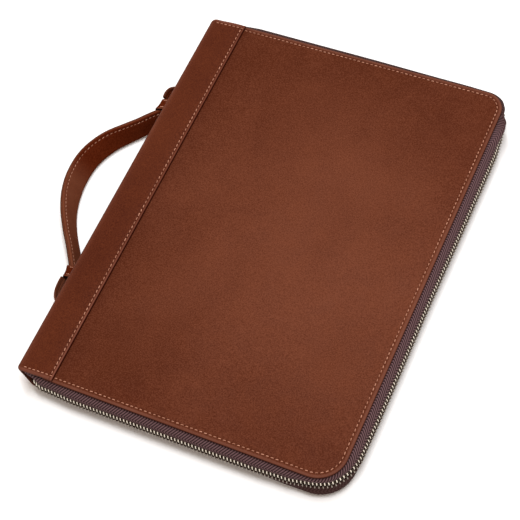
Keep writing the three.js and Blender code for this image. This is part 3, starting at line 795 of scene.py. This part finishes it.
def strap_bow():
    """Middle of the strap's lower edge from keeper to keeper, its width direction, width and thickness."""
    rows = [(face_x(r.z) - r.off, r.y, r.z, r.lean, r.wide) for r in STRAP_BOW]
    table = smooth_rows(rows, 150)
    edge = table[:, :3]
    ahead = unit(np.gradient(edge, axis=0))
    lean = np.radians(table[:, 3])[:, None]
    level = unit(stack(ahead[:, 1], -ahead[:, 0], 0.0))
    across = np.sin(lean) * level + np.cos(lean) * np.array([0, 0, 1])
    centre = edge + through_strap(ahead, across) * STRAP_THICK / 2
    return centre, across, table[:, 4], np.full(len(edge), STRAP_THICK)


def strap_tail(tail):
    """The strap's end: along the spine, round a tight turn and back out to its free end beside the keeper."""
    side = math.copysign(1, tail.turn_y)
    inner = TAIL_GAP + TAIL_THICK / 2
    radius = TAIL_THICK / 2 + TAIL_TURN_GAP
    turn = np.radians(np.linspace(-90, 45, 12))
    turn_y = tail.turn_y - side * (radius + TAIL_THICK / 2)
    lay = straight((inner, tail.keeper_y), (inner, turn_y), 16)[:-1]
    loop = stack(inner + radius + radius * np.sin(turn), turn_y + side * radius * np.cos(turn))
    back = bend(loop[-1], (tail.swell_off, tail.swell_y), (tail.free_off, tail.free_y), 22)[1:]
    plan = np.concatenate([lay, loop, back])
    centre = stack(face_x(TAIL_FOOT_Z) - plan[:, 0], plan[:, 1], TAIL_FOOT_Z)
    keep = smooth(abs(tail.keeper_y) + 1, abs(tail.keeper_y) + 5, np.abs(plan[:, 1]))
    keep[len(lay):] = 1
    thick = STRAP_THICK + (TAIL_THICK - STRAP_THICK) * keep
    centre[:len(lay), 0] -= (thick[:len(lay)] - TAIL_THICK) / 2
    return centre, np.tile(FACE_UP, (len(plan), 1)), np.full(len(plan), TAIL_WIDE), thick


def strap_parts():
    """The whole strap from its top free end to its bottom one."""
    top, bow, bottom = strap_tail(TAILS["top"]), strap_bow(), strap_tail(TAILS["bottom"])
    return [np.concatenate([a[::-1], b, c]) for a, b, c in zip(top, bow, bottom)]


def strap_outline(thick, wide):
    """The strap's section: folded round below, two sewn layers above with a line between their cut edges."""
    half = thick / 2
    fold = np.radians(np.linspace(180, 360, 9))
    below = stack(half * np.cos(fold), half + half * np.sin(fold))
    drop = STRAP_STITCH_DROP
    side = np.array([
        (0, drop + 1.4), (0, drop + 0.7), (STRAP_GROOVE, drop), (0, drop - 0.7),
        (0, 0.9), (0.12, 0.35), (0.45, 0.05),
    ])
    right = stack(half - side[:, 0], wide - side[:, 1])
    seam = np.array([(0.3, wide), (0, wide - 0.3), (-0.3, wide)])
    left = (right * (-1, 1))[::-1]
    return np.concatenate([below, right, seam, left])


def strap_shape():
    centre, across, wide, thick = strap_parts()
    ahead = unit(np.gradient(centre, axis=0))
    through = through_strap(ahead, across)
    sections, worn, burnt = [], [], []
    for c, a, t, w, d in zip(centre, across, through, wide, thick):
        outline = strap_outline(d, w)
        sections.append(c + outline[:, :1] * t + outline[:, 1:] * a)
        out, up = outline.T
        rim = smooth(w - 1.1, w - 0.3, up)
        pale = rim * smooth(-0.45 * d, -0.1 * d, out)
        # Pale cut edges along the top, and the strap painted paler towards the bottom keeper, as its lit side
        worn.append(np.maximum(pale, STRAP_PAINTED_LIGHT * (1 - smooth(-6, 20, c[1]))))
        line = 1 - smooth(0.05, 0.25, np.abs(out))
        edge = STRAP_BURN * smooth(0.2 * d, 0.38 * d, out) * rim
        burnt.append(np.maximum(line, edge) * (up > 0.5 * w))
    return skin(sections, worn=worn, burnt=burnt)


def strap_stitches():
    """One row through the strap below its top edge, seen on both faces."""
    centre, across, wide, thick = strap_bow()
    ahead = unit(np.gradient(centre, axis=0))
    through = through_strap(ahead, across)
    along = lengths_along(centre)
    where = row_places(along[-1], STRAP_STITCH.margin, STRAP_STITCH.pitch)
    middle = centre + across * (wide - STRAP_STITCH_DROP)[:, None]
    to = unit(at_places(ahead, along, where))
    out = unit(at_places(through, along, where))
    shape = Shape()
    for face in (-1, 1):
        line = middle + face * through * (thick / 2 - STRAP_GROOVE)[:, None]
        at = at_places(line, along, where)
        add_stitches(shape, at, to, face * out, STRAP_STITCH.length, STRAP_STITCH.girth)
    return shape


KEEPER_FOOT = np.array([face_x(TAIL_FOOT_Z), 0, TAIL_FOOT_Z])
KEEPER_HEAD = KEEPER_SPAN[1] + KEEPER_THICK


def keeper_room(along):
    """The room for the strap inside a keeper, which is wider towards its mouth."""
    flare = np.clip(1 - along / (0.5 * KEEPER_LENGTH), 0, 1)
    return KEEPER_ROOM + (KEEPER_MOUTH_ROOM - KEEPER_ROOM) * flare


def keeper_line(grow, room, radius):
    """A line bent over the strap, as (up the spine face, out from it) points, moved out by grow."""
    low, high = KEEPER_SPAN[0] - grow, KEEPER_SPAN[1] + grow
    top = room + grow
    return np.concatenate([
        straight((low, KEEPER_LIFT), (low, top - radius), 4)[:-1],
        bend((low, top - radius), (low, top), (low + radius, top), 8),
        straight((low + radius, top), (high - radius, top), 10)[1:-1],
        bend((high - radius, top), (high, top), (high, top - radius), 8),
        straight((high, top - radius), (high, KEEPER_LIFT), 4)[1:],
    ])


def keeper_shape(keeper):
    sections, worn, burnt = [], [], []
    for along in edge_steps(KEEPER_LENGTH, [0, 0.1, 0.35, 0.8, 1.5], 1.2):
        room = keeper_room(along)
        outer = keeper_line(KEEPER_THICK, room, KEEPER_ROUND.outer)
        inner = keeper_line(0, room, KEEPER_ROUND.inner)
        from_rim = min(along, KEEPER_LENGTH - along)
        thick = 1 - KEEPER_RIM.thin * max(1 - from_rim / KEEPER_RIM.width, 0) ** 2
        middle = (outer + inner) / 2
        outer, inner = (middle + (line - middle) * thick for line in (outer, inner))
        section = np.concatenate([outer, inner[::-1]])
        y = keeper.mouth_y + keeper.side * along
        sections.append(KEEPER_FOOT + section[:, :1] * FACE_UP + section[:, 1:] * FACE_OUT + (0, y, 0))
        worn.append(np.full(len(section), smooth(0.05, 0.3, from_rim) - smooth(0.7, 1.3, from_rim)))
        burnt.append(np.full(len(section), 1 - smooth(0.05, 0.3, from_rim)))
    return skin(sections, worn=worn, burnt=burnt)


def keeper_stitches():
    """Rows of short stitches along both rims of each keeper, on its upper side and its outer side."""
    shape = Shape()
    out = np.array([1.6, 3.4])[:, None]
    height = np.linspace(3.5, KEEPER_HEAD - 4.5, 5)[:, None]
    for keeper in KEEPERS:
        for rim in (KEEPER_STITCH.inset, KEEPER_LENGTH - KEEPER_STITCH.inset):
            foot = KEEPER_FOOT + (0, keeper.mouth_y + keeper.side * rim, 0)
            top = keeper_room(rim) + KEEPER_THICK
            upper = foot + KEEPER_HEAD * FACE_UP + out * FACE_OUT
            outer = foot + height * FACE_UP + top * FACE_OUT
            add_stitches(shape, upper, FACE_OUT, FACE_UP, KEEPER_STITCH.upper_length)
            add_stitches(shape, outer, FACE_UP, FACE_OUT, KEEPER_STITCH.outer_length)
    return shape


# Slider

def plate(outline, low, high, bevel):
    """A flat plate with bevelled rims: its outline's points between two levels, as closed sections."""
    outline = np.array(outline, float)
    centre = outline.mean(axis=0)
    size = np.abs(outline - centre).max(axis=0)
    inner = centre + (outline - centre) * (1 - bevel / size)
    rows = [(inner, low), (outline, low + bevel), (outline, high - bevel), (inner, high)]
    return np.array([np.insert(points, 1, level, axis=1) for points, level in rows])


def capsule_outline(low, high, half, steps=8):
    """A long outline with round ends, in x and z."""
    turn = np.radians(np.linspace(0, 180, steps + 1))
    head = stack(half * np.cos(turn), high - half + half * np.sin(turn))
    foot = stack(-half * np.cos(turn), low + half - half * np.sin(turn))
    return np.concatenate([head, foot])


def slider_shape():
    """The slider's two wings, its bridge and the pull that hangs from it, at the closed end of the zip."""
    middle = (SLIDER_LOW + SLIDER_HIGH) / 2
    half = (SLIDER_HIGH[0] - SLIDER_LOW[0]) / 2
    face = SLIDER_HIGH[1]
    body = [(-half, -4.2), (-half + 1, -4.4), (half - 3, -3.9), (half, -2.6),
            (half, 2.6), (half - 3, 3.9), (-half + 1, 4.4), (-half, 4.2)]
    shape = Shape()
    for low, high, grow in ((face - 2.6, face - 1.3, 1.0), (face - 5.0, face - 2.6, 0.62)):
        points = plate(np.array(body) * (1, grow), low, high, 0.25)
        shape.add_skin(points + (middle[0], 0, MIDDLE_Z), bright=0.4)
    bridge = np.array([(-2.6, 0.0), (-2.2, 0.9), (-1.0, 1.25), (1.0, 1.25), (2.2, 0.9), (2.6, 0.0)])
    low, high = bridge * (0.72, 0.55), bridge
    ring = np.concatenate([high, low[::-1]])
    sections = np.array([stack(ring[:, 0], face - 1.3 + ring[:, 1], z) for z in (-0.9, 0.9)])
    shape.add_skin(sections + (middle[0], 0, MIDDLE_Z + 0.6), bright=0.4)
    pull = capsule_outline(SLIDER_LOW[2], MIDDLE_Z + 1.6, 2.4)
    shape.add_skin(plate(pull, face - 1.2, face - 0.1, 0.3) + (middle[0], 0, 0), bright=0.4)
    return shape


# Materials

class Shader:
    """A material with short calls that add its nodes."""

    def __init__(self, name, **uniform):
        self.material = bpy.data.materials.new(name)
        self.material.use_nodes = True
        self.tree = self.material.node_tree
        self.surface = self.tree.nodes["Principled BSDF"]
        for key, value in uniform.items():
            self.surface.inputs[key.replace("_", " ").title().replace("Ior", "IOR")].default_value = value

    def add(self, kind, inputs, **settings):
        node = self.tree.nodes.new(kind)
        for key, value in settings.items():
            setattr(node, key, value)
        for key, value in inputs.items():
            self.set(node.inputs[key], value)
        return node

    def set(self, socket, value):
        if isinstance(value, bpy.types.NodeSocket):
            self.tree.links.new(value, socket)
        else:
            socket.default_value = value

    def give(self, key, value):
        self.set(self.surface.inputs[key], value)

    def place(self):
        return self.add("ShaderNodeTexCoord", {}).outputs["Object"]

    def value(self, name):
        return self.add("ShaderNodeAttribute", {}, attribute_name=name).outputs["Fac"]

    def noise(self, place, scale, detail=3.0, roughness=0.55, distortion=0.0):
        inputs = {"Vector": place, "Scale": scale, "Detail": detail}
        inputs.update({"Roughness": roughness, "Distortion": distortion})
        return self.add("ShaderNodeTexNoise", inputs).outputs["Fac"]

    def nearness(self, place, centre, reach):
        """1 at a centre, falling softly to 0 at its reach."""
        far = self.add("ShaderNodeVectorMath", {0: place, 1: centre}, operation="DISTANCE").outputs["Value"]
        inputs = {"Value": far, "From Min": 0.0, "From Max": reach, "To Min": 1.0, "To Max": 0.0}
        return self.add("ShaderNodeMapRange", inputs, interpolation_type="SMOOTHSTEP").outputs["Result"]

    def math(self, operation, a, b=0.0, c=0.0):
        return self.add("ShaderNodeMath", {0: a, 1: b, 2: c}, operation=operation).outputs[0]

    def scaled(self, value, factor, base):
        """A value times a factor, added to a base."""
        return self.math("MULTIPLY_ADD", value, factor, base)

    def ramp(self, factor, stops):
        node = self.add("ShaderNodeValToRGB", {"Fac": factor})
        while len(node.color_ramp.elements) < len(stops):
            node.color_ramp.elements.new(0.5)
        for element, (position, color) in zip(node.color_ramp.elements, stops):
            element.position = position
            element.color = (*color, 1)
        return node.outputs["Color"]

    def mix(self, factor, a, b):
        node = self.add("ShaderNodeMix", {0: factor}, data_type="RGBA")
        for socket, color in ((node.inputs[6], a), (node.inputs[7], b)):
            self.set(socket, (*color, 1) if isinstance(color, tuple) else color)
        return node.outputs[2]

    def bump(self, height, strength, distance, normal=None):
        inputs = {"Height": height, "Strength": strength, "Distance": distance}
        node = self.add("ShaderNodeBump", inputs)
        if normal is not None:
            self.set(node.inputs["Normal"], normal)
        return node.outputs["Normal"]


def leather(name, tones, light_pool=0.0, gloss=0.06):
    """Waxed leather: cloudy tone and fine grain, paler along rubbed edges, on the seam rim's painted
    highlight and on the strap's painted lit side, and darker on dyed cut edges, in the painted shade of the
    stitch grooves and in the painted shadow beside the seam.

    The third argument paints a pool of light: it makes a wide area in the middle of the covers paler.
    """
    shader = Shader(name, specular_ior_level=gloss)
    place = shader.place()
    cloud = shader.noise(place, 12, 4, 0.55, 0.5)
    mottle = shader.noise(place, 48, 4, 0.6, 0.4)
    fleck = shader.noise(place, 1050, 3, 0.65)
    tone = shader.scaled(cloud, LEATHER_MIX.cloud, LEATHER_MIX.base - light_pool / 2)
    tone = shader.scaled(mottle, LEATHER_MIX.mottle, tone)
    tone = shader.scaled(fleck, LEATHER_MIX.fleck, tone)
    # A painted pool of light: the tone rises towards a centre on the covers
    if light_pool:
        near = shader.nearness(place, COVER_LIGHT_POOL.centre, COVER_LIGHT_POOL.reach)
        tone = shader.scaled(near, light_pool, tone)
    color = shader.ramp(tone, [(0.0, tones.dark), (1.0, tones.light)])
    # Towards the paler edge tone: real rubbing on edges, a painted highlight on the seam's rim and the
    # strap's painted lit side; then dye and painted shade
    rub_and_light = shader.math("MULTIPLY", shader.value("worn"), shader.scaled(mottle, 0.9, 0.25))
    color = shader.mix(shader.value("burnt"), shader.mix(rub_and_light, color, tones.worn), tones.burnt)
    shader.give("Base Color", color)
    shader.give("Roughness", shader.scaled(mottle, 0.3, 0.46))
    pores = shader.add("ShaderNodeTexVoronoi", {"Vector": place, "Scale": 950.0}).outputs["Distance"]
    creases = shader.noise(place, 260, 4, 0.65, 0.6)
    normal = shader.bump(creases, 0.25, 0.0006)
    shader.give("Normal", shader.bump(pores, 0.3, 0.00025, normal))
    return shader.material


def tape_cloth(name):
    """Herringbone tape: slanted ribs that change direction in bands, a darker band beside the teeth, and
    painted shade on the back tape and along the top edge.
    """
    shader = Shader(name, roughness=0.9, specular_ior_level=0.1)
    zigzag = shader.math("PINGPONG", shader.math("ADD", shader.value("across"), RIB.shift), RIB.band)
    slanted = shader.scaled(zigzag, RIB.slant, shader.value("run"))
    rib = shader.math("DIVIDE", shader.math("PINGPONG", slanted, RIB.pitch / 2), RIB.pitch / 2)
    fuzz = shader.noise(shader.place(), 1600, 3, 0.7)
    height = shader.scaled(fuzz, 0.5, rib)
    color = shader.ramp(height, [(0.4, TAPE_TONES.gap), (0.75, TAPE_TONES.side), (1.0, TAPE_TONES.rib)])
    shader.give("Base Color", shader.mix(shader.value("brown"), color, TAPE_TONES.brown))
    shader.give("Normal", shader.bump(height, 0.4, 0.00025))
    return shader.material


def antique_brass(name):
    """Brass, dark on the teeth's heads where they mesh, part patina and part painted shade, and pale on their
    legs; the lower row is painted darker as shade.
    """
    shader = Shader(name, metallic=1.0)
    place = shader.place()
    patina = shader.noise(place, 420, 4, 0.65)
    shine = shader.math("MULTIPLY", shader.value("bright"), shader.scaled(patina, 0.5, 0.7))
    shader.give("Base Color", shader.mix(shine, BRASS_TONES.dark, BRASS_TONES.bright))
    shader.give("Roughness", shader.scaled(patina, -0.2, 0.42))
    shader.give("Normal", shader.bump(shader.noise(place, 1800, 3, 0.6), 0.15, 0.0001))
    return shader.material


def thread(name):
    """Waxed thread with a fine twist, and a tone of its own for each stitch."""
    shader = Shader(name, roughness=0.7, specular_ior_level=0.15)
    inputs = {"Vector": shader.place(), "Scale": 1100.0, "Distortion": 0.5}
    twist = shader.add("ShaderNodeTexWave", inputs, bands_direction="DIAGONAL").outputs["Fac"]
    tone = shader.scaled(twist, 0.25, shader.math("MULTIPLY", shader.value("tone"), 0.75))
    shader.give("Base Color", shader.ramp(tone, [(0.0, THREAD_TONES.dark), (1.0, THREAD_TONES.light)]))
    shader.give("Normal", shader.bump(twist, 0.4, 0.0001))
    return shader.material


COVER_LEATHER = leather("cover_leather", COVER_TONES, COVER_LIGHT_POOL.amount)
SPINE_LEATHER = leather("spine_leather", SPINE_TONES)
STRAP_LEATHER = leather("strap_leather", STRAP_TONES, gloss=0.0)
TAPE_CLOTH = tape_cloth("tape_cloth")
BRASS = antique_brass("antique_brass")
THREAD = thread("thread")


# Camera, floor and light

def add_camera():
    camera = add_object("camera", bpy.data.cameras.new("camera"))
    place, aim = Vector(CAMERA_PLACE) * MM, Vector(CAMERA_AIM) * MM
    turn = (aim - place).to_track_quat("-Z", "Y").to_matrix().to_4x4()
    roll = Matrix.Rotation(math.radians(CAMERA_ROLL), 4, "Z")
    camera.matrix_world = Matrix.Translation(place) @ turn @ roll
    camera.data.sensor_width = CAMERA_SENSOR
    camera.data.lens = CAMERA_LENS
    bpy.context.scene.camera = camera


def add_floor():
    reach, z = FLOOR.reach, -FLOOR.drop
    mesh = bpy.data.meshes.new("floor")
    corners = [(-reach, -reach, z), (reach, -reach, z), (reach, reach, z), (-reach, reach, z)]
    mesh.from_pydata(corners, [], [(0, 1, 2, 3)])
    shader = Shader("floor_paper", base_color=FLOOR.tone, roughness=0.9)
    mesh.materials.append(shader.material)
    add_object("floor", mesh)


def add_lamp(lamp):
    """A rectangular lamp that points at the case."""
    data = bpy.data.lights.new(lamp.name, "AREA")
    data.shape = "RECTANGLE"
    data.size, data.size_y = lamp.size
    data.energy = lamp.watts
    data.color = lamp.tone
    made = add_object(lamp.name, data)
    made.location = lamp.place
    made.rotation_euler = (-Vector(lamp.place)).to_track_quat("-Z", "Y").to_euler()


def set_colors():
    """Shows the light as it is, with no film curve."""
    bpy.context.scene.view_settings.view_transform = "Standard"
    bpy.context.scene.view_settings.look = "None"


def add_world():
    world = bpy.data.worlds.new("studio")
    world.use_nodes = True
    background = world.node_tree.nodes["Background"]
    background.inputs["Color"].default_value = WORLD.tone
    background.inputs["Strength"].default_value = WORLD.strength
    bpy.context.scene.world = world


# The case

shape = cover_shape(as_front, GROOVE.front)
front_cover = make_piece("front_cover_leather", shape, COVER_LEATHER, ["front_cover"])
shape = cover_shape(as_back, GROOVE.back)
back_cover = make_piece("back_cover_leather", shape, COVER_LEATHER, ["back_cover"])
spine = make_piece("spine_leather", spine_shape(), SPINE_LEATHER, ["spine_panel"])
front_tape = make_piece("zip_tape_front_cloth", tape_shape(1), TAPE_CLOTH, ["zip_tape_front"])
back_tape = make_piece("zip_tape_back_cloth", tape_shape(-1), TAPE_CLOTH, ["zip_tape_back"])
make_piece("zip_teeth", teeth_shape(), BRASS, ["zip_chain"])
make_piece("zip_slider_metal", slider_shape(), BRASS, ["zip_slider"])
make_piece("handle_strap_leather", strap_shape(), STRAP_LEATHER, ["handle_strap"])
for keeper in KEEPERS:
    shape = keeper_shape(keeper)
    loop = make_piece(keeper.node + "_leather", shape, STRAP_LEATHER, [keeper.node])
for name, shape in (
    ("stitches_front", cover_stitches(True)), ("stitches_back", cover_stitches(False)),
    ("stitches_strap", strap_stitches()), ("stitches_keepers", keeper_stitches()),
):
    make_piece(name, shape, THREAD, crease=STITCH_CREASE)

# The spine leather's size as it was cut, flat

spine_flat = (lengths_along(spine_line())[-1] * MM, 2 * SPINE_HALF * MM)

add_camera()
add_floor()
set_colors()
add_world()
add_lamp(KEY_LAMP)
